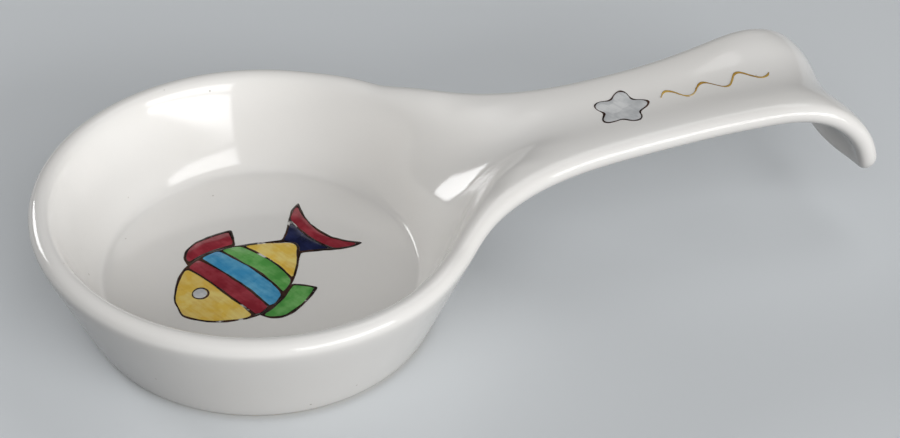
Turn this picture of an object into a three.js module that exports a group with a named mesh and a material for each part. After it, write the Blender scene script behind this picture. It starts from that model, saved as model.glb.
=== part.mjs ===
// Spoon rest in glazed earthenware: a round bowl on a low foot, whose wall opens into a troughed
// handle that narrows to a neck, widens to a paddle and curls over at its end.
// Millimetres, +Z up, handle along +X, foot standing on Z = 0.
//
// The fired clay is one casting. Over it lie the layers that a potter adds: the white glaze that
// wraps everything but the foot, the glaze under the base, and the painted decoration.

import * as THREE from 'three';
import { mergeVertices } from 'three/addons/utils/BufferGeometryUtils.js';

const degree = Math.PI / 180;

// Bowl, measured over the glaze
const rimRadius = 60; // outside of the rolled rim
const rimHeight = 35.6; // top of the rim above the table, half way round
const rimFall = 1.5; // how much lower the rim's plane is at the handle than at the back
const shoulderRise = 2; // how far the rim then lifts to meet the handle's edges
const shoulderAngle = 62 * degree; // where that lift begins, from the handle's axis
const wallThickness = 6.4; // wall, rim and neck
const floorHeight = 9.4; // upper face of the floor above the table
const coveReach = 13; // height over which the floor rounds into the wall
const footRadius = 47.2; // where the line of the outer wall meets the table
const footWidth = 6; // flat ring that the rest stands on
const recessDepth = 2.5; // hollow inside the foot ring
const recessSlope = 1.5; // how far the hollow narrows towards its ceiling
const dryFootHeight = 0.8; // height of the glaze's lower edge above the table

// Handle, measured over the glaze and along its length before it curls
const mouthAngle = 42 * degree; // half of the rim's arc that opens into the handle
const mouthRollRadius = 37.5; // roll of the handle as it goes down into the bowl
const rampAngle = 43 * degree; // slope of the ramp from floor to handle, on the centre line
const rampEase = 4; // length over which the wall's slope turns into the ramp's
const mouthFlatness = 3.4; // more than 2 makes the middle of the mouth flatter across
const mouthBlendMiddle = 21; // height over which ramp and handle merge, on the centre line
const mouthBlendEdge = 8; // the same at the two edges
const neckReach = 114; // bowl's axis to the narrowest place
const neckWidth = 34.3;
const neckHeight = 42; // upper face on the centre line at the neck
const handleTilt = 4.8 * degree; // rise of the handle at the neck
const handleSweepRadius = 1250; // long upward sweep along the handle
const paddleWidth = 49; // widest place, at the end
const neckTrough = 2.2; // hollow of the upper face at the neck, edge to centre line
const paddleTrough = 6; // the same at the end
const neckEdgeTurn = 1.3; // how far the two edges turn down again, at the neck
const paddleEdgeTurn = 3.5; // the same at the end
const edgeTurnStart = 0.52; // share of the half width where that begins

// Curl at the handle's end
const curlStart = 137; // bowl's axis to the start of the curl
const curlEase = 15; // length over which the curl tightens
const curlRadius = 21.5; // full bend, at the middle of the wall
const curlAngle = 84 * degree; // turn from start to end
const tipThickness = 5.6; // wall at the end
const endCrown = 2.5; // how far the end's edge bows out
const endSquareness = 2.6; // 2 is an ellipse, more is squarer

// Layers
const glazeThickness = 0.5;
const layerGap = 0.3; // between the clay and the glaze over it
const paintThickness = 0.25;
const paintGap = 0.15; // between neighbouring patches of paint, and under paint on a curve
const strokeWidth = 0.8; // painted outline

// Painted fish on the floor of the bowl, in its own axes: nose at -X, tail at +X
const fishTurn = 28 * degree;
const fishAlong = -1; // middle of the fish from the bowl's axis, towards the handle
const fishAcross = 1; // the same, towards the far side
const fishBody = 39; // nose to tail root
const fishTail = 15; // tail root to tail end
const fishHump = 13; // half height of the body above the line to the tail root
const fishHumpShift = 0.8; // less than 1 moves the deepest place towards the nose
const fishFullness = 0.85; // less than 1 makes nose and root blunter
const fishRoot = 3.2; // half height at the tail root
const fishFlare = 12.5; // half height at the tail end
const fishFlareShift = 0.8; // less than 1 opens the tail sooner
const fishBow = 2.4; // bow of the bands across the body
const tailNotch = 4.5; // hollow of the tail's end
const bandEnds = [0.34, 0.47, 0.63, 0.77, 1]; // shares of the body, from the nose
const tailSplit = 0.55; // share of the tail in its first colour
const finStart = 14; // nose to the front of the fins
const finLength = 15;
const finHeight = 6.5;
const finSweep = 4; // how far the fin's tip lies behind its root
const finShoulder = 0.1; // share of the fin's length where its front edge turns back
const finShoulderHeight = 10.4; // how high the front edge aims
const eyeRadius = 1.7;
const eyeAlong = 9.2; // nose to the middle of the eye
const eyeAcross = 3.2; // middle of the eye above the fish's centre line

// Painted star and ripple on the handle
const starReach = 103; // bowl's axis to the star's middle
const starRadius = 8;
const starDepth = 0.36; // share of the radius lost between the arms
const starArms = 5;
const rippleStart = 3.5; // clear of the star's outline
const rippleLength = 33;
const rippleHeight = 2.6; // half of the wave's height
const rippleWave = 11; // one full wave
const rippleWidth = 1.1;

// Number of facets and working values
const rimColumns = 42;
const mouthColumns = 12;
const coveRows = 4;
const wallRows = 3;
const outerRows = 4;
const handleRows = 12;
const curlRows = 8;
const lipRows = 5;
const fishSteps = 32; // from nose to tail end
const bandSteps = 6; // across the fish
const eyeSteps = 14;
const finSteps = 5;
const starColumns = 40;
const starRows = 2;
const rippleSteps = 32;
const curlSteps = 32; // short lengths that a curled point is carried along
const startBias = 1.5; // more than 1 packs rows closer at their start
const edgeReach = 1.25; // shares of the half width over which the handle's section is drawn
const slopeStep = 0.05; // for measuring the slope of a surface
const weld = 1e-4; // corners nearer than this are one

// Colours and roughness of clay, glaze and paint
const clayColour = 0xd9cdb8;
const glazeColour = 0xf0eeea;
const yellow = 0xdcb742;
const darkRed = 0x8f2130;
const skyBlue = 0x3f9bcb;
const green = 0x53a046;
const navy = 0x23264f;
const grey = 0xb4b7b8;
const outlineBrown = 0x2c1c18;
const lineGold = 0xb98f33;
const clayRoughness = 0.85;
const glazeRoughness = 0.12;
const baseRoughness = 0.2;
const paintRoughness = 0.25;
const lineRoughness = 0.3;

// Sizes that follow: the middle of the wall carries the form, and each skin lies either side of it
const halfWall = wallThickness / 2;
const halfTip = tipThickness / 2;
const midRadius = rimRadius - halfWall;
const midRim = rimHeight - halfWall;
const midFloor = floorHeight - halfWall;
const midNeck = neckHeight - halfWall;
const mouthX = midRadius * Math.cos(mouthAngle);
const mouthY = midRadius * Math.sin(mouthAngle);
const neckHalf = neckWidth / 2 - halfWall;
const paddleHalf = paddleWidth / 2 - halfTip;
const paddleReach = curlStart + curlEase / 2 + curlRadius * curlAngle;
const layerDepth = glazeThickness + layerGap;

// The outer wall runs straight from the foot and touches the round of the rim
const wallLean = Math.acos(halfWall / Math.hypot(midRim, midRadius - footRadius))
  - Math.atan2(midRadius - footRadius, midRim);
const wallSlope = Math.tan(wallLean);
const floorRadius = midRadius - (midRim - midFloor) / wallSlope;

const lerp = THREE.MathUtils.lerp;
const clamp = THREE.MathUtils.clamp;

function smooth(t) {
  return THREE.MathUtils.smoothstep(t, 0, 1);
}

// Evenly spaced values, both ends included
function spread(from, to, steps) {
  return Array.from({ length: steps + 1 }, (_, i) => lerp(from, to, i / steps));
}

// Zero below -1, t above 1, and a smooth run between
function softOver(t) {
  const c = clamp(t, -1, 1);
  return t > 1 ? t : (c + 1) ** 3 * (3 - c) / 16;
}

// Curve from (x0, y0) to (x1, y1) with a slope at its start and none at its end
function easeCurve(x, x0, y0, slope, x1, y1) {
  const t = (x - x0) / (x1 - x0);
  return y0 + (y1 - y0) * t * t * (3 - 2 * t) + slope * (x1 - x0) * t * (1 - t) ** 2;
}

// Half width of the form at x: the bowl's circle, then in to the neck and out to the paddle
function halfWidth(x) {
  if (x < mouthX) return Math.sqrt(Math.max(midRadius ** 2 - x ** 2, 1));
  if (x < neckReach) return easeCurve(x, mouthX, mouthY, -1 / Math.tan(mouthAngle), neckReach, neckHalf);
  if (x < paddleReach) return easeCurve(x, neckReach, neckHalf, 0, paddleReach, paddleHalf);
  return paddleHalf;
}

// Height of the handle's centre line, before it curls
function spine(x) {
  const along = x - neckReach;
  const roll = Math.max(mouthX - x, 0);
  return midNeck + Math.tan(handleTilt) * along + along ** 2 / (2 * handleSweepRadius)
    + roll ** 2 / (2 * mouthRollRadius);
}

// How far a place round the bowl is from the shoulder, which gives 0, to an angle that gives 1
function pastShoulder(r, x, angle) {
  const start = Math.cos(shoulderAngle);
  return smooth((x / Math.max(r, weld) - start) / (Math.cos(angle) - start));
}

// How far the rim stands above its mean height: it falls towards the handle, then lifts to its edges
function rimShift(r, x) {
  return shoulderRise * pastShoulder(r, x, mouthAngle) - rimFall / 2 * x / midRadius;
}

// Height of the bowl at radius r; the outside has no floor, and runs on down to the foot.
// Towards the middle of the mouth the wall leans out to the slope of the ramp.
function bowlHeight(r, x, middle, outside) {
  const ramp = middle * pastShoulder(r, x, 0) * (wallSlope - Math.tan(rampAngle));
  const past = r - floorRadius;
  const line = midFloor + past * wallSlope - ramp * rampEase * softOver(past / rampEase - 1);
  const shift = rimShift(r, x);
  if (outside) return line * (1 + shift / midRim);
  const rise = coveReach * softOver((line - midFloor) / coveReach);
  return midFloor + rise * (1 + shift / (midRim - midFloor));
}

// Height of the handle: centre line, trough and turned edges
function handleHeight(x, share) {
  const along = clamp((x - neckReach) / (paddleReach - neckReach), 0, 1);
  const trough = lerp(neckTrough, paddleTrough, along);
  const edgeTurn = lerp(neckEdgeTurn, paddleEdgeTurn, along);
  const turn = Math.max(share - edgeTurnStart, 0) / (1 - edgeTurnStart);
  return spine(x) + trough * share ** 2 - edgeTurn * turn ** 2;
}

// Middle of the wall: bowl and handle merge, softly on the centre line and tightly at the edges
function midHeight(x, y, outside) {
  const share = Math.min(Math.abs(y) / halfWidth(x), edgeReach);
  const middle = Math.max(1 - share ** mouthFlatness, 0) ** 2;
  const blend = lerp(mouthBlendEdge, mouthBlendMiddle, middle);
  const bowl = bowlHeight(Math.hypot(x, y), x, middle, outside);
  return bowl - blend * softOver((bowl - handleHeight(x, share)) / blend);
}

function midNormal(x, y, outside) {
  const dx = midHeight(x + slopeStep, y, outside) - midHeight(x - slopeStep, y, outside);
  const dy = midHeight(x, y + slopeStep, outside) - midHeight(x, y - slopeStep, outside);
  return new THREE.Vector3(-dx, -dy, 2 * slopeStep).normalize();
}

// Half of the wall's thickness, thinner towards the tip
function halfThickness(x) {
  return lerp(halfWall, halfTip, smooth((x - neckReach) / (paddleReach - neckReach)));
}

// Turn of the curl after a length along it
function curlTurn(length) {
  if (length < curlEase) return length ** 2 / (2 * curlEase * curlRadius);
  return (length - curlEase / 2) / curlRadius;
}

// Bend a point of the straight handle over the curl, keeping its height off the centre line
function curl(point) {
  const length = point.x - curlStart;
  if (length <= 0) return point;
  const start = Math.atan(Math.tan(handleTilt) + (curlStart - neckReach) / handleSweepRadius);
  const height = point.z - spine(point.x);
  const bent = new THREE.Vector3(curlStart, point.y, spine(curlStart));
  for (let i = 0; i < curlSteps; i += 1) {
    const heading = start - curlTurn(length * (i + 0.5) / curlSteps);
    bent.x += Math.cos(heading) * length / curlSteps;
    bent.z += Math.sin(heading) * length / curlSteps;
  }
  const turn = curlTurn(length) - start;
  bent.x += height * Math.sin(turn);
  bent.z += height * Math.cos(turn);
  return bent;
}

// A point at a height over the middle of the wall, square to it, with the curl
function offWall(x, y, height, outside = false) {
  const point = new THREE.Vector3(x, y, midHeight(x, y, outside));
  return curl(point.addScaledVector(midNormal(x, y, outside), height));
}

// Angles round the bowl: across the mouth, then round the rim
const bowlAngles = [
  ...spread(-mouthAngle, mouthAngle, mouthColumns),
  ...spread(mouthAngle, 2 * Math.PI - mouthAngle, rimColumns).slice(1),
];

// Radii of the bowl's inside: flat floor, cove and wall
function bowlRadii() {
  const coveHalf = coveReach / wallSlope;
  const coveStart = floorRadius - coveHalf;
  const coveEnd = floorRadius + coveHalf;
  return [
    0,
    coveStart / 2,
    ...spread(coveStart, coveEnd, coveRows),
    ...spread(coveEnd, midRadius, wallRows).slice(1),
  ];
}

// Plan of the handle: rows go from the arc of the mouth, where they lie closest, to the squared end
function handlePlan() {
  const stations = [
    ...spread(0, 1, handleRows).map((share) => lerp(mouthX, curlStart, share ** startBias)),
    ...spread(curlStart, paddleReach, curlRows).slice(1),
  ];
  const sides = spread(-1, 1, mouthColumns);
  return stations.map((x) => {
    const share = smooth((x - mouthX) / (paddleReach - mouthX));
    const bow = lerp(midRadius - mouthX, endCrown, share);
    const half = halfWidth(x);
    return sides.map((side) => {
      const arc = side * mouthAngle;
      const arcBow = (Math.cos(arc) - Math.cos(mouthAngle)) / (1 - Math.cos(mouthAngle));
      const arcSide = Math.sin(arc) / Math.sin(mouthAngle);
      const power = 2 / endSquareness;
      const endBow = Math.max(Math.cos(side * Math.PI / 2), 0) ** power;
      const endSide = Math.sign(side) * Math.abs(Math.sin(side * Math.PI / 2)) ** power;
      return [x + bow * lerp(arcBow, endBow, share), half * lerp(arcSide, endSide, share)];
    });
  });
}

// Plan of the whole edge, anticlockwise: rim, near side of the handle, end, far side
function edgePlan(handle) {
  const rim = bowlAngles.slice(mouthColumns).map((a) => [midRadius * Math.cos(a), midRadius * Math.sin(a)]);
  const near = handle.slice(1).map((row) => row[0]);
  const end = handle.at(-1).slice(1, -1);
  const far = handle.slice(1).map((row) => row.at(-1)).reverse();
  return [...rim, ...near, ...end, ...far];
}

// Rolled lip: a half round swept along the edge, from the upper skin to the lower one
function lipGrid(edge, inset) {
  const count = edge.length;
  const middles = edge.map(([x, y]) => new THREE.Vector3(x, y, midHeight(x, y, false)));
  const columns = edge.map(([x, y], i) => {
    const along = middles[(i + 1) % count].clone().sub(middles[(i + count - 1) % count]);
    const up = midNormal(x, y, false);
    const out = along.cross(up).normalize();
    const radius = halfThickness(x) - inset;
    return spread(0, Math.PI, lipRows).map((angle) => curl(middles[i].clone()
      .addScaledVector(up, radius * Math.cos(angle))
      .addScaledVector(out, radius * Math.sin(angle))));
  });
  columns.push(columns[0]);
  return spread(0, lipRows, lipRows).map((row) => columns.map((column) => column[row]));
}

// A ring of points round the bowl's axis
function ring(radius, height) {
  return bowlAngles.map((a) => new THREE.Vector3(radius * Math.cos(a), radius * Math.sin(a), height));
}

// One skin of the form, at a depth below the glazed surface, open only at the foot.
// Rows and columns of each grid turn so that row x column points outwards.
function skin(inset) {
  const plan = handlePlan();
  const inside = bowlRadii().map((r) => bowlAngles.map((a) => (
    offWall(r * Math.cos(a), r * Math.sin(a), halfWall - inset))));
  const lowest = midRadius + (halfWall * Math.cos(wallLean) + dryFootHeight - midRim) / wallSlope;
  const outside = spread(midRadius, lowest, outerRows).map((r, row) => bowlAngles.map((a) => (
    offWall(r * Math.cos(a), r * Math.sin(a), inset - halfWall, row > 0))));
  const upper = plan.map((row) => row.map(([x, y]) => offWall(x, y, halfThickness(x) - inset)));
  const under = plan.map((row) => row.map(([x, y]) => offWall(x, y, inset - halfThickness(x))).reverse());
  return { grids: [inside, outside, upper, under, lipGrid(edgePlan(plan), inset)], hem: outside.at(-1) };
}

// Closed solid from grids of points; grids turned inside out come second.
// Each cell is cut by the diagonal that mirrors its twin on the other side of the handle.
function solid(outward, inward = []) {
  const corners = [];
  const face = (a, b, c) => {
    const flat = Math.min(a.distanceTo(b), b.distanceTo(c), c.distanceTo(a)) < weld;
    if (!flat) corners.push(...a, ...b, ...c);
  };
  const addGrid = (grid, turned) => {
    for (let i = 0; i + 1 < grid.length; i += 1) {
      for (let j = 0; j + 1 < grid[i].length; j += 1) {
        const corner = [grid[i][j], grid[i + 1][j], grid[i + 1][j + 1], grid[i][j + 1]];
        const loop = corner[0].y + corner[2].y < 0 ? [1, 2, 3, 0] : [0, 1, 2, 3];
        const [a, b, c, d] = loop.map((k) => corner[k]);
        face(a, ...(turned ? [c, b] : [b, c]));
        face(a, ...(turned ? [d, c] : [c, d]));
      }
    }
  };
  outward.forEach((grid) => addGrid(grid, false));
  inward.forEach((grid) => addGrid(grid, true));
  const geometry = new THREE.BufferGeometry();
  geometry.setAttribute('position', new THREE.Float32BufferAttribute(corners, 3));
  const merged = mergeVertices(geometry, weld);
  merged.computeVertexNormals();
  return merged;
}

const spoonRest = new THREE.Group();

function addPart(name, geometry, colour, roughness, parent = spoonRest) {
  const material = new THREE.MeshStandardMaterial({ color: colour, roughness, metalness: 0 });
  const mesh = new THREE.Mesh(geometry, material);
  mesh.name = name;
  parent.add(mesh);
  return mesh;
}

// Fired clay: the whole casting with its foot ring and the hollow inside it
const clayFootRadius = footRadius - layerDepth / Math.sin(wallLean);
const recessMouth = clayFootRadius - footWidth;
const recessRadius = recessMouth - recessSlope;

function biscuitBody() {
  const { grids, hem } = skin(layerDepth);
  const foot = [
    hem,
    ring(clayFootRadius, 0),
    ring(recessMouth, 0),
    ring(recessRadius, recessDepth),
    ring(0, recessDepth),
  ];
  return solid([...grids, foot]);
}

// White glaze: a coat of even thickness over the clay, ending just above the table
function glazeCoat() {
  const outer = skin(0);
  const inner = skin(glazeThickness);
  return solid([...outer.grids, [outer.hem, inner.hem]], inner.grids);
}

// Glaze on the ceiling of the hollow under the base
function baseGlaze() {
  const top = recessDepth - layerGap;
  const radius = recessRadius - layerGap;
  const profile = [
    new THREE.Vector2(0, top - glazeThickness),
    new THREE.Vector2(radius, top - glazeThickness),
    new THREE.Vector2(radius, top),
    new THREE.Vector2(0, top),
  ];
  const geometry = new THREE.LatheGeometry(profile, rimColumns);
  geometry.rotateX(Math.PI / 2);
  geometry.deleteAttribute('normal');
  geometry.deleteAttribute('uv');
  return mergeVertices(geometry, weld);
}

addPart('biscuit_body', biscuitBody(), clayColour, clayRoughness);
addPart('glaze_coat', glazeCoat(), glazeColour, glazeRoughness);
addPart('base_glaze', baseGlaze(), glazeColour, baseRoughness);

// Half height of the fish at a length from its nose
function fishHalf(length) {
  if (length <= fishBody) {
    const share = Math.max(length, 0) / fishBody;
    return fishRoot * share + fishHump * Math.sin(Math.PI * share ** fishHumpShift) ** fishFullness;
  }
  return lerp(fishRoot, fishFlare, smooth((length - fishBody) / fishTail) ** fishFlareShift);
}

// Bow of a line across the fish, from the nose's straight start to the tail's notched end
function fishBend(length) {
  if (length <= fishBody) return fishBow * length / fishBody;
  return lerp(fishBow, -tailNotch, (length - fishBody) / fishTail);
}

// Lengths along the fish, closer together at the nose
const fishLengths = spread(0, 1, fishSteps).map((share) => share ** startBias * (fishBody + fishTail));
const fishMiddle = (fishBody + fishTail) / 2;

// Lengths from one to another, both ends included
function lengthsBetween(from, to) {
  const apart = 2 * strokeWidth;
  return [from, ...fishLengths.filter((length) => length > from + apart && length < to - apart), to];
}

// Plan of a stretch of the fish, anticlockwise
function fishStretch(from, to) {
  const place = (length, share) => new THREE.Vector2(
    length - fishMiddle + fishBend(length) * (1 - share ** 2),
    share * fishHalf(length),
  );
  const lengths = lengthsBetween(from, to);
  const shares = spread(-1, 1, bandSteps).slice(1, -1);
  const below = lengths.map((length) => place(length, -1));
  const after = shares.map((share) => place(to, share));
  const above = lengths.map((length) => place(length, 1)).reverse();
  const before = shares.map((share) => place(from, -share));
  return from > 0 ? [...below, ...after, ...above, ...before] : [...below, ...after, ...above.slice(0, -1)];
}

// Plan of a fin that stands on the fish's outline: side is 1 on the back and -1 on the belly
function finPlan(side) {
  const seat = strokeWidth / 2 + 2 * paintGap;
  const root = lengthsBetween(finStart, finStart + finLength)
    .map((length) => new THREE.Vector2(length - fishMiddle, fishHalf(length) + seat));
  const front = root[0];
  const rear = root.at(-1);
  const tip = new THREE.Vector2(rear.x + finSweep, rear.y + finHeight);
  const shoulder = new THREE.Vector2(lerp(front.x, rear.x, finShoulder), front.y + finShoulderHeight);
  const edge = new THREE.QuadraticBezierCurve(tip, shoulder, front).getPoints(finSteps).slice(0, -1);
  const loop = [...root, ...edge].map((point) => new THREE.Vector2(point.x, side * point.y));
  return side > 0 ? loop : loop.reverse();
}

// The same plan drawn in by a margin, square to its edges
function drawnIn(loop, margin) {
  return loop.map((point, i) => {
    const before = point.clone().sub(loop[(i + loop.length - 1) % loop.length]).normalize();
    const after = loop[(i + 1) % loop.length].clone().sub(point).normalize();
    const inward = new THREE.Vector2(-before.y - after.y, before.x + after.x);
    return point.clone().addScaledVector(inward, margin / (1 + before.dot(after)));
  });
}

// Flat film of paint on the floor of the bowl
function floorFilm(outline, holes = []) {
  const shape = new THREE.Shape(outline);
  shape.holes = holes.map((hole) => new THREE.Path(hole));
  const film = new THREE.ExtrudeGeometry(shape, {
    depth: paintThickness,
    bevelEnabled: false,
    curveSegments: 1,
  });
  film.deleteAttribute('normal');
  film.deleteAttribute('uv');
  return mergeVertices(film, weld);
}

function circle(centre, radius) {
  return spread(0, 2 * Math.PI, eyeSteps).slice(1).map((a) => (
    new THREE.Vector2(centre.x + radius * Math.cos(a), centre.y + radius * Math.sin(a))));
}

// Painted fish: bands of colour inside one brown outline, two fins and an eye
const fish = new THREE.Group();
fish.position.set(fishAlong, fishAcross, floorHeight);
fish.rotation.z = fishTurn;
spoonRest.add(fish);

const halfStroke = strokeWidth / 2;
const paintMargin = halfStroke + paintGap;
const fishEnds = [
  0,
  ...bandEnds.map((end) => end * fishBody),
  fishBody + tailSplit * fishTail,
  fishBody + fishTail,
];
const fishBands = [
  ['fish_head', yellow],
  ['fish_red_band', darkRed],
  ['fish_blue_band', skyBlue],
  ['fish_green_band', green],
  ['fish_yellow_band', yellow],
  ['fish_navy_tail', navy],
  ['fish_red_tail', darkRed],
];
const fishCells = fishBands.map((_, i) => fishStretch(fishEnds[i], fishEnds[i + 1]));
const eyeCentre = new THREE.Vector2(eyeAlong - fishMiddle, eyeAcross);
const eyeHole = circle(eyeCentre, eyeRadius + strokeWidth + 2 * paintGap);

fishBands.forEach(([name, colour], i) => {
  const holes = i === 0 ? [eyeHole] : [];
  addPart(name, floorFilm(drawnIn(fishCells[i], paintMargin), holes), colour, paintRoughness, fish);
});

const fishEdge = drawnIn(fishStretch(0, fishBody + fishTail), -halfStroke);
const fishOutline = floorFilm(fishEdge, fishCells.map((cell) => drawnIn(cell, halfStroke)));
addPart('fish_outline', fishOutline, outlineBrown, lineRoughness, fish);

const eyeRim = circle(eyeCentre, eyeRadius + strokeWidth + paintGap);
const eyeRing = floorFilm(eyeRim, [circle(eyeCentre, eyeRadius + paintGap)]);
addPart('fish_eye_ring', eyeRing, outlineBrown, lineRoughness, fish);
addPart('fish_eye', floorFilm(circle(eyeCentre, eyeRadius)), grey, paintRoughness, fish);

[['back', 1, darkRed], ['belly', -1, green]].forEach(([name, side, colour]) => {
  const plan = finPlan(side);
  const edge = floorFilm(plan, [drawnIn(plan, strokeWidth)]);
  addPart(`${name}_fin_outline`, edge, outlineBrown, lineRoughness, fish);
  addPart(`${name}_fin`, floorFilm(drawnIn(plan, strokeWidth + paintGap)), colour, paintRoughness, fish);
});

// Film of paint that follows the handle: a grid of plan points, closed round or open
function handleFilm(plan, closed) {
  const at = (height) => plan.map((row) => row.map(([x, y]) => offWall(x, y, halfThickness(x) + height)));
  const top = at(paintGap + paintThickness);
  const bottom = at(paintGap);
  const sides = [[top.at(-1), bottom.at(-1)], [bottom[0], top[0]]];
  if (!closed) {
    sides.push(top.map((row, i) => [row.at(-1), bottom[i].at(-1)]));
    sides.push(top.map((row, i) => [bottom[i][0], row[0]]));
  }
  return solid([top, ...sides], [bottom]);
}

// Points of a star round its middle, for a range of distances from its edge
function starPlan(distances) {
  const angles = spread(0, 2 * Math.PI, starColumns);
  return distances.map((distance) => angles.map((a) => {
    const edge = starRadius * (1 - starDepth * (1 - Math.cos(starArms * a)) / 2);
    const r = Math.max(edge + distance, 0);
    return [starReach + r * Math.cos(a), r * Math.sin(a)];
  }));
}

// The patch is drawn in towards its middle in even shares
function starPatch() {
  const edge = starPlan([-paintMargin])[0];
  return spread(0, 1, starRows).map((share) => edge.map(([x, y]) => [lerp(starReach, x, share), y * share]));
}

function ripplePlan() {
  const start = starReach + starRadius + rippleStart;
  const middle = (x) => rippleHeight * Math.sin(2 * Math.PI * (x - start) / rippleWave);
  return spread(start, start + rippleLength, rippleSteps).map((x) => (
    [-rippleWidth / 2, rippleWidth / 2].map((side) => [x, middle(x) + side])));
}

const starOutline = handleFilm(starPlan([-halfStroke, halfStroke]), true);
addPart('handle_star', handleFilm(starPatch(), true), grey, paintRoughness);
addPart('handle_star_outline', starOutline, outlineBrown, lineRoughness);
addPart('handle_ripple', handleFilm(ripplePlan(), false), lineGold, lineRoughness);

// The origin lies under the middle of the whole piece, on the table
const box = new THREE.Box3().setFromObject(spoonRest);
spoonRest.position.x = -(box.min.x + box.max.x) / 2;

export default spoonRest;
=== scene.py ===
# %% [markdown]
# # A glazed spoon rest
#
# This lesson dresses a CAD model of a ceramic spoon rest: a round bowl on a low foot, whose wall opens into a
# troughed handle that curls over at its end. The CAD model gives every size and place. Here its faceted layers
# become what they are on the real piece: fired clay, a thick glossy glaze, and colours laid on with a brush.

# %% Load the CAD frame
import math

import bmesh
import bpy
from mathutils import Matrix, Vector, noise
from mathutils.bvhtree import BVHTree


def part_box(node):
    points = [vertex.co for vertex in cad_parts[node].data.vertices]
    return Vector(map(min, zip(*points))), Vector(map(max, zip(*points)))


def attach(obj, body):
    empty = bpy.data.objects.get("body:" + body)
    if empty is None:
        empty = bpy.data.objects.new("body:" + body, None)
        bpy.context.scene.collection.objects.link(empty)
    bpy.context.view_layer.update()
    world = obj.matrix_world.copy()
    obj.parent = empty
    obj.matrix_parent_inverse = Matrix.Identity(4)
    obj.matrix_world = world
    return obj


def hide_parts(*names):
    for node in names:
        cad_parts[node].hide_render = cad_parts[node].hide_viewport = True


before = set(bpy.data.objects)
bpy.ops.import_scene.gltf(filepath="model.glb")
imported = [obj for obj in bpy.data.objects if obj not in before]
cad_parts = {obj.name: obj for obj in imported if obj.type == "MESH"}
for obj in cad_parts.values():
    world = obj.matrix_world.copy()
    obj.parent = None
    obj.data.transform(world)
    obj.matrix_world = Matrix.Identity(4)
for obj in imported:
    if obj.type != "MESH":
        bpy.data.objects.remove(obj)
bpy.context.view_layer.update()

mm = 0.001
print("CAD layers:", ", ".join(sorted(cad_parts)))

# %% [markdown]
# ## The camera
#
# The photograph looks down on the piece from the front left, from about half a metre away. The camera is set by
# four things that can be read from a picture: the point it looks at, how far round and how high it stands, and
# how far it leans to one side. The lens follows from the width of the picture in pixels.

# %% Stand the camera where the photograph was taken
picture_width = 900  # pixels
focal_length = 1935.9  # pixels
look_at = Vector((2.97, 16.2, 0)) * mm
camera_distance = 557.4 * mm
camera_turn = math.radians(-20.43)  # round the object, from the front
camera_height = math.radians(39.1)
camera_lean = math.radians(1.95)

back = Vector((
    math.sin(camera_turn) * math.cos(camera_height),
    -math.cos(camera_turn) * math.cos(camera_height),
    math.sin(camera_height),
))
level = Vector((math.cos(camera_turn), math.sin(camera_turn), 0))
axes = Matrix((level, back.cross(level), back)).transposed()
lens = bpy.data.cameras.new("camera")
lens.lens = lens.sensor_width * focal_length / picture_width
lens.clip_start = 10 * mm
camera = bpy.data.objects.new("camera", lens)
camera.matrix_world = (
    Matrix.Translation(look_at + back * camera_distance)
    @ axes.to_4x4()
    @ Matrix.Rotation(camera_lean, 4, "Z")
)
bpy.context.scene.collection.objects.link(camera)
bpy.context.scene.camera = camera
bpy.context.scene.view_settings.view_transform = "Standard"
print("lens", round(lens.lens, 1), "mm")

# %% [markdown]
# ## Colours and nodes
#
# Colours are written as the sRGB values that a colour picker shows, and turned to the linear values that the
# renderer works with. One function adds a shader node with its settings and links.


# %% Turn a hex colour to linear, and add a node
def linear(hex_colour):
    channels = [(hex_colour >> shift & 255) / 255 for shift in (16, 8, 0)]
    return [c / 12.92 if c <= 0.04045 else ((c + 0.055) / 1.055) ** 2.4 for c in channels] + [1]


def add(material, kind, inputs=None, **settings):
    """Add a node; an input is a value, or the socket of another node that it is linked to."""
    node = material.node_tree.nodes.new(kind)
    for name, value in settings.items():
        setattr(node, name, value)
    for name, value in (inputs or {}).items():
        if isinstance(value, bpy.types.NodeSocket):
            material.node_tree.links.new(value, node.inputs[name])
        else:
            node.inputs[name].default_value = value
    return node


def new_material(name):
    material = bpy.data.materials.new(name)
    material.use_nodes = True
    material.node_tree.nodes.clear()
    return material


bare_white = 0xF0EEEA
print("white glaze, linear:", [round(c, 3) for c in linear(bare_white)])

# %% [markdown]
# ## Nodes used most
#
# A few kinds of node do most of the work in these materials. Noise gives an uneven value from 0 to 1, and its size
# is a real length on the object. Stretching picks out a part of that value, such as only its peaks. Two values are
# joined by a sum or a product, and two colours are mixed by a value. Each kind gets a short form here.


# %% Give the nodes used most a short form
def object_place(material):
    return add(material, "ShaderNodeTexCoord").outputs["Object"]


def uneven(material, place, size, **inputs):
    """Noise with features of about this size."""
    return add(material, "ShaderNodeTexNoise", {"Vector": place, "Scale": 1 / size, **inputs}).outputs["Fac"]


def stretch(material, value, start, end, low=0.0, high=1.0):
    """Stretch the part of a value between start and end over the range from low to high."""
    return add(material, "ShaderNodeMapRange", {
        "Value": value,
        "From Min": start,
        "From Max": end,
        "To Min": low,
        "To Max": high,
    }).outputs["Result"]


def join(material, operation, first, second):
    return add(material, "ShaderNodeMath", {0: first, 1: second}, operation=operation).outputs["Value"]


def mix(material, share, first, second):
    """Mix two colours, each a hex value or the socket of another node."""
    first, second = (linear(colour) if isinstance(colour, int) else colour for colour in (first, second))
    return add(material, "ShaderNodeMix", {0: share, 6: first, 7: second}, data_type="RGBA").outputs[2]


def bumped(material, height, strength, depth):
    return add(material, "ShaderNodeBump", {
        "Strength": strength,
        "Distance": depth,
        "Height": height,
    }).outputs["Normal"]


def surface(material, inputs):
    shader = add(material, "ShaderNodeBsdfPrincipled", inputs)
    add(material, "ShaderNodeOutputMaterial", {"Surface": shader.outputs["BSDF"]})
    print("made", material.name)
    return material


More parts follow.
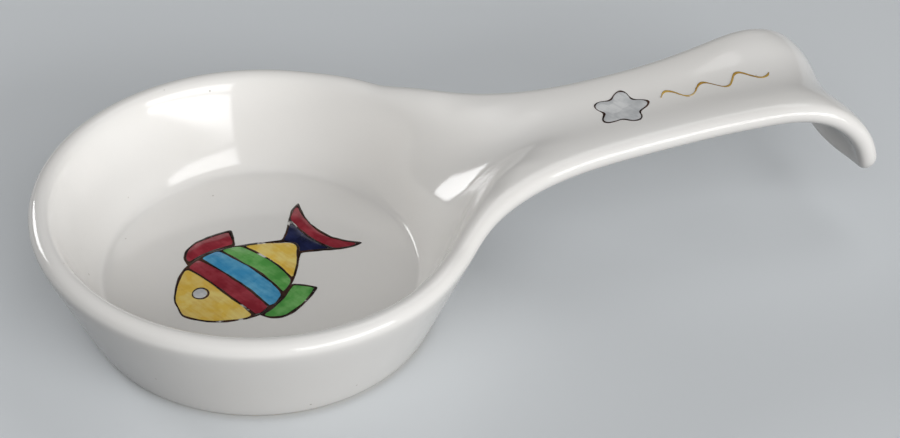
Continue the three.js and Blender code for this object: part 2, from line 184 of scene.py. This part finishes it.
print("features of 5 mm need a noise scale of", round(1 / (5 * mm)))

# %% [markdown]
# ## White glaze
#
# The glaze is a glass, melted over the clay in the kiln. It is glossy and very slightly uneven: it pools and
# thins over a few centimetres, which shifts its tint, and its surface keeps a faint waviness that makes
# reflections wander. Both come from noise on object coordinates, with sizes in millimetres. Here and there a
# grain of clay shows through as a grey speck of half a millimetre: the points of a Voronoi texture scatter them,
# and the random colour that it gives each point picks the few that show.


# %% White tin glaze, poured and fired
def white_glaze():
    material = new_material("white_glaze_fired")
    place = object_place(material)
    pooling = uneven(material, place, 55 * mm, Detail=2, Roughness=0.5)
    tint = mix(material, pooling, 0xEFECE7, 0xF3F2F0)
    grains = add(material, "ShaderNodeTexVoronoi", {"Vector": place, "Scale": 1 / (6 * mm)}).outputs
    dot = stretch(material, grains["Distance"], 0.03, 0.07, low=0.7, high=0)
    picked = join(material, "GREATER_THAN", grains["Color"], 0.72)
    colour = mix(material, join(material, "MULTIPLY", dot, picked), tint, 0xA39A8E)
    waviness = uneven(material, place, 11 * mm, Detail=1, Roughness=0.4)
    return surface(material, {
        "Base Color": colour,
        "Roughness": 0.1,
        "IOR": 1.52,
        "Normal": bumped(material, waviness, strength=0.12, depth=0.25 * mm),
    })


glaze_material = white_glaze()

# %% [markdown]
# ## Pieces from CAD layers
#
# A CAD layer arrives as loose triangles. A copy of it is merged, so that neighbouring triangles share corners,
# and then shaped with bmesh operators. The copy replaces the layer and rides on the same body.


# %% Copy a layer and turn a bmesh into a piece
merge_distance = 0.002 * mm


def merged_copy(node):
    bm = bmesh.new()
    bm.from_mesh(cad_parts[node].data)
    bmesh.ops.remove_doubles(bm, verts=bm.verts, dist=merge_distance)
    return bm


def add_piece(bm, name, material, replaced):
    mesh = bpy.data.meshes.new(name)
    bm.to_mesh(mesh)
    bm.free()
    mesh.materials.append(material)
    mesh.shade_smooth()
    piece = bpy.data.objects.new(name, mesh)
    bpy.context.scene.collection.objects.link(piece)
    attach(piece, "root")
    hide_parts(replaced)
    print(name, "has", len(mesh.polygons), "faces")
    return piece


# %% [markdown]
# ## The glaze coat
#
# The coat wraps the bowl, the rolled lip and the handle in one skin. The CAD layer has its form in a few
# thousand facets, laid out in rows and columns. Pairs of triangles become quads again, and a subdivision surface
# rounds them into the continuous skin that a glaze has.

# %% Round the glaze coat
glaze_bm = merged_copy("glaze_coat")
bmesh.ops.join_triangles(
    glaze_bm,
    faces=glaze_bm.faces,
    angle_face_threshold=math.radians(40),
    angle_shape_threshold=math.radians(60),
)
glaze = add_piece(glaze_bm, "glaze_skin", glaze_material, "glaze_coat")
rounding = glaze.modifiers.new("rounding", "SUBSURF")
rounding.levels = rounding.render_levels = 2

# %% [markdown]
# ## Unglazed clay
#
# The foot is wiped clean before firing, so that the piece doesn't stick to the kiln shelf. There the fired clay
# shows: pale, dry and matt, with a fine grain that feels like sandpaper. Real grit is about 0.2 mm; it is drawn
# at 0.6 mm, because anything finer is lost in the render.


# %% Fired earthenware, wiped
def fired_clay():
    material = new_material("fired_earthenware_wiped")
    place = object_place(material)
    grit = uneven(material, place, 0.6 * mm, Detail=3, Roughness=0.6)
    blush = uneven(material, place, 9 * mm, Detail=2)
    warm = mix(material, blush, 0xE3D8C4, 0xD0C1A8)
    speck = stretch(material, grit, 0.55, 0.75, high=0.35)
    return surface(material, {
        "Base Color": mix(material, speck, warm, 0xA8957A),
        "Roughness": 0.85,
        "IOR": 1.5,
        "Normal": bumped(material, grit, strength=0.4, depth=0.1 * mm),
    })


clay_material = fired_clay()

# %% [markdown]
# ## The clay body
#
# Nearly all of the clay is under glaze, and only the ring it stands on shows. That ring was trimmed on a wheel
# and sponged, which leaves its two edges soft. A bevel on those edges alone does it; the rest of the body is the
# CAD form.

# %% Soften the edges of the foot ring
clay_bm = merged_copy("biscuit_body")
standing = 0.05 * mm
foot_edges = [
    edge for edge in clay_bm.edges
    if all(vert.co.z < standing for vert in edge.verts) and edge.calc_face_angle(0) > math.radians(30)
]
bmesh.ops.bevel(
    clay_bm,
    geom=foot_edges,
    offset=0.35 * mm,
    offset_type="OFFSET",
    segments=3,
    profile=0.5,
    affect="EDGES",
    material=-1,
)
clay = add_piece(clay_bm, "clay_body", clay_material, "biscuit_body")
clay.data.set_sharp_from_angle(angle=math.radians(35))
print("softened", len(foot_edges), "edges")

# %% [markdown]
# ## Glaze under the base
#
# The hollow inside the foot ring is glazed too: a thin disc that stops short of the ring, with a rounded edge
# where the glaze drew back as it melted. A circle is filled, extruded to its thickness and its edges bevelled.

# %% Pour the glaze under the base
low, high = (Vector(corner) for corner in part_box("base_glaze"))
pour_radius = (high.x - low.x) / 2
pour_depth = high.z - low.z
pour_bm = bmesh.new()
bmesh.ops.create_circle(
    pour_bm,
    cap_ends=True,
    segments=128,
    radius=pour_radius,
    matrix=Matrix.Translation(((low.x + high.x) / 2, (low.y + high.y) / 2, low.z)),
)
grown = bmesh.ops.extrude_face_region(pour_bm, geom=pour_bm.faces[:])
top_verts = [item for item in grown["geom"] if isinstance(item, bmesh.types.BMVert)]
bmesh.ops.translate(pour_bm, verts=top_verts, vec=(0, 0, pour_depth))
bmesh.ops.recalc_face_normals(pour_bm, faces=pour_bm.faces)
lower_rim = [edge for edge in pour_bm.edges if all(vert.co.z < low.z + pour_depth / 2 for vert in edge.verts)]
bmesh.ops.bevel(
    pour_bm,
    geom=lower_rim,
    offset=pour_depth * 0.9,
    offset_type="OFFSET",
    segments=5,
    profile=0.5,
    affect="EDGES",
    material=-1,
)
base = add_piece(pour_bm, "base_glaze_disc", glaze_material, "base_glaze")
base.data.set_sharp_from_angle(angle=math.radians(60))

# %% [markdown]
# ## Brushed colours
#
# The decoration is ceramic colour, brushed on by hand and sealed under a clear gloss. One brush load is never
# even: it lies thin where the brush ran dry and deep where it stopped, streaks follow the stroke, and a darker
# line gathers at the edge of the wash. The material mixes three tones of one pigment by a soft wash, by laps with
# a sharp side where one brush load was laid over another, by streaks that run across the body of the fish, and by
# an attribute on the mesh that is 1 at the edge of each patch. A thin brush also skips: here and there a line
# breaks off for a millimetre or two and the white shows through. Bristle marks are about 0.3 mm apart, drawn at
# 0.8 mm so that they show.

# %% Ceramic colour, brushed and glossed
stroke_turn = math.radians(118)  # the bands of the fish run this way
bristle_size = (9 * mm, 0.8 * mm, 0.8 * mm)


def brushed_colour(name, thin, body, deep, skips=0.0):
    material = new_material(name)
    place = object_place(material)
    wash = uneven(material, place, 5 * mm, Detail=3, Roughness=0.55)
    even = mix(material, stretch(material, wash, 0.4, 0.58), thin, body)
    second_load = uneven(material, place, 9 * mm, Detail=1, Distortion=0.6)
    lap = stretch(material, second_load, 0.5, 0.53, high=0.22)
    stroke = add(material, "ShaderNodeMapping", {
        "Vector": place,
        "Rotation": (0, 0, stroke_turn),
        "Scale": bristle_size,
    }, vector_type="TEXTURE").outputs["Vector"]
    bristle = stretch(material, uneven(material, stroke, size=1, Detail=2), 0.45, 0.75, high=0.3)
    streaked = mix(material, join(material, "ADD", lap, bristle), even, deep)
    edge = add(material, "ShaderNodeAttribute", attribute_name="edge").outputs["Fac"]
    gathered = mix(material, join(material, "MULTIPLY", edge, wash), streaked, deep)
    grip = uneven(material, place, 6 * mm, Detail=3, Roughness=0.6)
    missed = stretch(material, grip, 0.62, 0.67, high=skips)
    return surface(material, {
        "Base Color": mix(material, missed, gathered, bare_white),
        "Roughness": 0.12,
        "IOR": 1.52,
    })


colours = {
    "yellow_paint": brushed_colour("yellow_ceramic_colour", thin=0xF6DE86, body=0xF1CC5C, deep=0xD9A73C),
    "red_paint": brushed_colour("dark_red_ceramic_colour", thin=0xAE434E, body=0x962B38, deep=0x761A26),
    "blue_paint": brushed_colour("sky_blue_ceramic_colour", thin=0x70BBDF, body=0x48A0D0, deep=0x3084B6),
    "green_paint": brushed_colour("green_ceramic_colour", thin=0x7DBD6C, body=0x5AA64F, deep=0x42873C),
    "navy_paint": brushed_colour("navy_ceramic_colour", thin=0x252B56, body=0x151A40, deep=0x0E1230),
    "grey_paint": brushed_colour("grey_wash_ceramic_colour", thin=0xE2E3E3, body=0xCBCDCE, deep=0xA9ACB0),
    "outline_paint": brushed_colour("brown_black_liner", thin=0x55382B, body=0x2C1C18, deep=0x1B100E, skips=0.8),
    "gold_paint": brushed_colour("ochre_liner", thin=0xD8B45C, body=0xC0963A, deep=0x5E4020, skips=0.5),
}
print("mixed", len(colours), "colours")

# %% [markdown]
# ## A border drawn by hand
#
# Each colour is a thin film. The CAD layers give the place and outline of each film with clean edges, and a hand
# doesn't draw so cleanly. So the border of a film is cut into short steps, eased round its corners and moved by
# smooth noise: a slow drift that all films share, so neighbours stay together, a quick shake of each film's own,
# and a swelling and thinning of the stroke.

# %% Tools for a border
border_step = 0.6 * mm
easing_passes = 4
drift_length, drift = 11 * mm, 0.45 * mm
shake_length, shake = 2.2 * mm, 0.14 * mm
wander_length, wander = 4 * mm, 0.22 * mm
seed_step = Vector((31, 21.7, 0)) * mm  # far enough apart in the noise for films to differ
noise.seed_set(1)  # without a seed, vector noise differs from run to run


def border(bm):
    return [edge for edge in bm.edges if edge.is_boundary]


def cut_border(bm):
    """Cut the border into short steps, so that it can bend."""
    steps = {}
    for edge in border(bm):
        steps.setdefault(int(edge.calc_length() / border_step), []).append(edge)
    for cuts, edges in steps.items():
        if cuts:
            bmesh.ops.bisect_edges(bm, edges=edges, cuts=cuts)


def ease_border(bm):
    """Round the border: each pass moves a point half way to the middle of its two neighbours."""
    edge_verts = {vert for edge in border(bm) for vert in edge.verts}
    for _ in range(easing_passes):
        middles = {}
        for vert in edge_verts:
            beside = [edge.other_vert(vert).co for edge in vert.link_edges if edge.is_boundary]
            middles[vert] = sum(beside, Vector()) / len(beside)
        for vert, middle in middles.items():
            vert.co = vert.co.lerp(middle, 0.5)


def by_hand(bm, seed, spread):
    """Move the film as a hand would, and spread its border outwards by an uneven amount."""
    moves = {vert: noise.noise_vector(vert.co / drift_length) * drift for vert in bm.verts}
    for vert in {vert for edge in border(bm) for vert in edge.verts}:
        own = vert.co + seed_step * seed
        outward = -sum((loop.calc_tangent() for loop in vert.link_loops), Vector()).normalized()
        moves[vert] += outward * (spread + wander * noise.noise(own / wander_length))
        moves[vert] += noise.noise_vector(own / shake_length) * shake
    for vert, move in moves.items():
        vert.co += move


print("border cut into steps of", round(border_step / mm, 2), "mm")

# %% [markdown]
# ## A film on the glaze
#
# The top of a CAD layer is copied and its border drawn by hand. An inset makes a soft, slightly lower edge, and
# the film is seated on the rounded glaze. An extrusion closes it into a thin body whose lower half is sunk in the
# glaze, so no gap shows from any side. A patch is one face. Its hole, where another colour lies, is filled.

# %% Tools for a film
glaze_surface = BVHTree.FromObject(glaze, bpy.context.evaluated_depsgraph_get())
facing_up = 0.5  # upward part of a face's normal
hole_sides = 16
soft_edge = 0.16 * mm
edge_fall = 0.04 * mm
film_depth = 0.25 * mm


def seat(bm, lift):
    """Set the film on the glaze, its border a little lower than its middle."""
    edge_layer = bm.verts.layers.float.new("edge")
    for vert in bm.verts:
        spot, normal, _, _ = glaze_surface.find_nearest(vert.co)
        vert[edge_layer] = 1.0 if vert.is_boundary else 0.0
        vert.co = spot + normal * (lift - (edge_fall if vert.is_boundary else 0))


def paint_film(node, slot, lift, seed, spread=0.0, patch=True, shift=(0, 0, 0)):
    bm = merged_copy(node)
    hidden = [face for face in bm.faces if face.normal.z < facing_up]
    bmesh.ops.delete(bm, geom=hidden, context="FACES")
    if patch:
        bmesh.ops.holes_fill(bm, edges=border(bm), sides=hole_sides)
        bmesh.ops.dissolve_faces(bm, faces=bm.faces)
    bmesh.ops.translate(bm, verts=bm.verts, vec=shift)
    cut_border(bm)
    ease_border(bm)
    by_hand(bm, seed, spread)
    bmesh.ops.inset_region(bm, faces=bm.faces, thickness=soft_edge, use_boundary=True)
    seat(bm, lift)
    sunk = bmesh.ops.extrude_face_region(bm, geom=bm.faces[:], use_keep_orig=True)["geom"]
    sunk_verts = [item for item in sunk if isinstance(item, bmesh.types.BMVert)]
    bmesh.ops.translate(bm, verts=sunk_verts, vec=(0, 0, -film_depth))
    bmesh.ops.recalc_face_normals(bm, faces=bm.faces)
    return add_piece(bm, node + "_film", colours[slot], node)


print("a film is", round(film_depth / mm, 2), "mm deep")

# %% [markdown]
# ## The fish
#
# Patches of colour were laid first, and each runs a little way under the line that was drawn round it later.
# The spread of a patch is what closes the clean gap that the CAD layers keep between colour and line. The fins
# stand a little off the body in the CAD layers too, and are drawn in until their lines meet.

# %% Lay the colours of the fish
fin_gap = 0.7 * mm


def middle_of(node):
    low, high = (Vector(corner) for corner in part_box(node))
    return (low + high) / 2


def fin_shift(node):
    """Fins are drawn in until their line meets the line of the body."""
    if "fin" not in node:
        return Vector()
    return (middle_of("fish_green_band") - middle_of(node)).normalized() * fin_gap


patch_lift = 0.05 * mm
patch_spread = 0.42 * mm
patches = {
    "fish_head": "yellow_paint",
    "fish_red_band": "red_paint",
    "fish_blue_band": "blue_paint",
    "fish_green_band": "green_paint",
    "fish_yellow_band": "yellow_paint",
    "fish_navy_tail": "navy_paint",
    "fish_red_tail": "red_paint",
    "back_fin": "red_paint",
    "belly_fin": "green_paint",
}
for seed, (node, slot) in enumerate(patches.items()):
    paint_film(node, slot, patch_lift, seed, patch_spread, shift=fin_shift(node))

# %% [markdown]
# ## The lines of the fish
#
# The line came last, from a thin brush loaded with brown-black colour, so it lies higher than the patches and
# covers their edges. The eye is a dab of grey with its own ring. A line keeps the faces of its CAD layer, because
# a closed line has an inner and an outer border, which a single face couldn't have.

# %% Draw the lines of the fish
line_lift = 0.12 * mm
line_spread = -0.1 * mm
eye_lift = 0.08 * mm
paint_film("fish_eye", "grey_paint", eye_lift, 12, 0.3 * mm)
for seed, node in enumerate(("fish_outline", "back_fin_outline", "belly_fin_outline", "fish_eye_ring")):
    paint_film(node, "outline_paint", line_lift, 20 + seed, line_spread, patch=False, shift=fin_shift(node))

# %% [markdown]
# ## The star and the ripple
#
# The handle has a grey star, washed thin, with a brown line round it, and a wavy ochre line. They follow the
# trough, so their films keep the rows of the CAD layer and bend with the glaze under them.

# %% Paint the handle
paint_film("handle_star", "grey_paint", patch_lift, 31, patch_spread, patch=False)
paint_film("handle_star_outline", "outline_paint", line_lift, 32, line_spread, patch=False)
paint_film("handle_ripple", "gold_paint", line_lift, 33, line_spread, patch=False)

# %% [markdown]
# ## The floor
#
# The piece stands on plain pale paper. A sheet of paper this large would throw light up at the outside of the
# bowl and flatten its roundness, so the paper is pale to the eye and in reflections, and darker to the light that
# bounces from it. Light Path tells the two apart.


# %% Lay the floor
def pale_floor():
    material = new_material("pale_paper_floor")
    rays = add(material, "ShaderNodeLightPath").outputs
    mirrored = join(material, "MAXIMUM", rays["Is Glossy Ray"], rays["Is Transmission Ray"])
    seen = join(material, "MAXIMUM", rays["Is Camera Ray"], mirrored)
    return surface(material, {"Base Color": mix(material, seen, 0x585B5E, 0xDFE3E6), "Roughness": 0.8})


floor_reach = 3  # metres
floor_bm = bmesh.new()
bmesh.ops.create_grid(floor_bm, x_segments=1, y_segments=1, size=floor_reach)
floor_mesh = bpy.data.meshes.new("floor")
floor_bm.to_mesh(floor_mesh)
floor_bm.free()
floor_mesh.materials.append(pale_floor())
floor = bpy.data.objects.new("floor", floor_mesh)
bpy.context.scene.collection.objects.link(floor)
print("floor is", round(floor.dimensions.x, 1), "m across")


# %% [markdown]
# ## The light
#
# A gloss shows the lamps themselves, so each lamp stands where a highlight of the photograph points. The mirror
# direction of a highlight gives the turn and height of its lamp. A window in two panes at the front right mirrors
# in the back wall of the bowl, a small pane behind on the left makes the bright patch in the mouth and the line
# along the rim, and a dim panel overhead shines on the lip. Two fill lights only soften the shadows, and are kept
# out of reflections. A very dim sky lights the rest.


# %% Hang the softboxes
def softbox(name, turn, height, distance, size, watts, mirrored=True):
    """An area lamp that faces the object: turn is round from the front, height is above the table."""
    turn, height = math.radians(turn), math.radians(height)
    toward = Vector((math.sin(turn) * math.cos(height), -math.cos(turn) * math.cos(height), math.sin(height)))
    light = bpy.data.lights.new(name, "AREA")
    light.shape = "RECTANGLE"
    light.size, light.size_y = size
    light.energy = watts
    lamp = bpy.data.objects.new(name, light)
    lamp.visible_glossy = mirrored
    lamp.matrix_world = (
        Matrix.Translation(look_at + toward * distance) @ toward.to_track_quat("Z", "Y").to_matrix().to_4x4()
    )
    bpy.context.scene.collection.objects.link(lamp)
    print(name, "stands at", [round(c, 2) for c in lamp.matrix_world.translation])


softbox("front_upper_pane", turn=22, height=21, distance=2.4, size=(2.0, 0.66), watts=21)
softbox("front_lower_pane", turn=22, height=7.5, distance=2.4, size=(2.0, 0.31), watts=12)
softbox("rear_pane", turn=-142, height=23, distance=1.1, size=(0.42, 0.3), watts=3.2)
softbox("ceiling_panel", turn=120, height=64, distance=1.3, size=(0.7, 0.45), watts=1.2)
softbox("front_fill", turn=-12, height=43, distance=1.3, size=(1.5, 0.9), watts=8.0, mirrored=False)
softbox("right_fill", turn=85, height=22, distance=1.3, size=(1.0, 0.6), watts=1.8, mirrored=False)

world = bpy.data.worlds.new("even_sky")
world.use_nodes = True
world.node_tree.nodes["Background"].inputs["Color"].default_value = linear(0xF4F6F8)
world.node_tree.nodes["Background"].inputs["Strength"].default_value = 0.08
bpy.context.scene.world = world
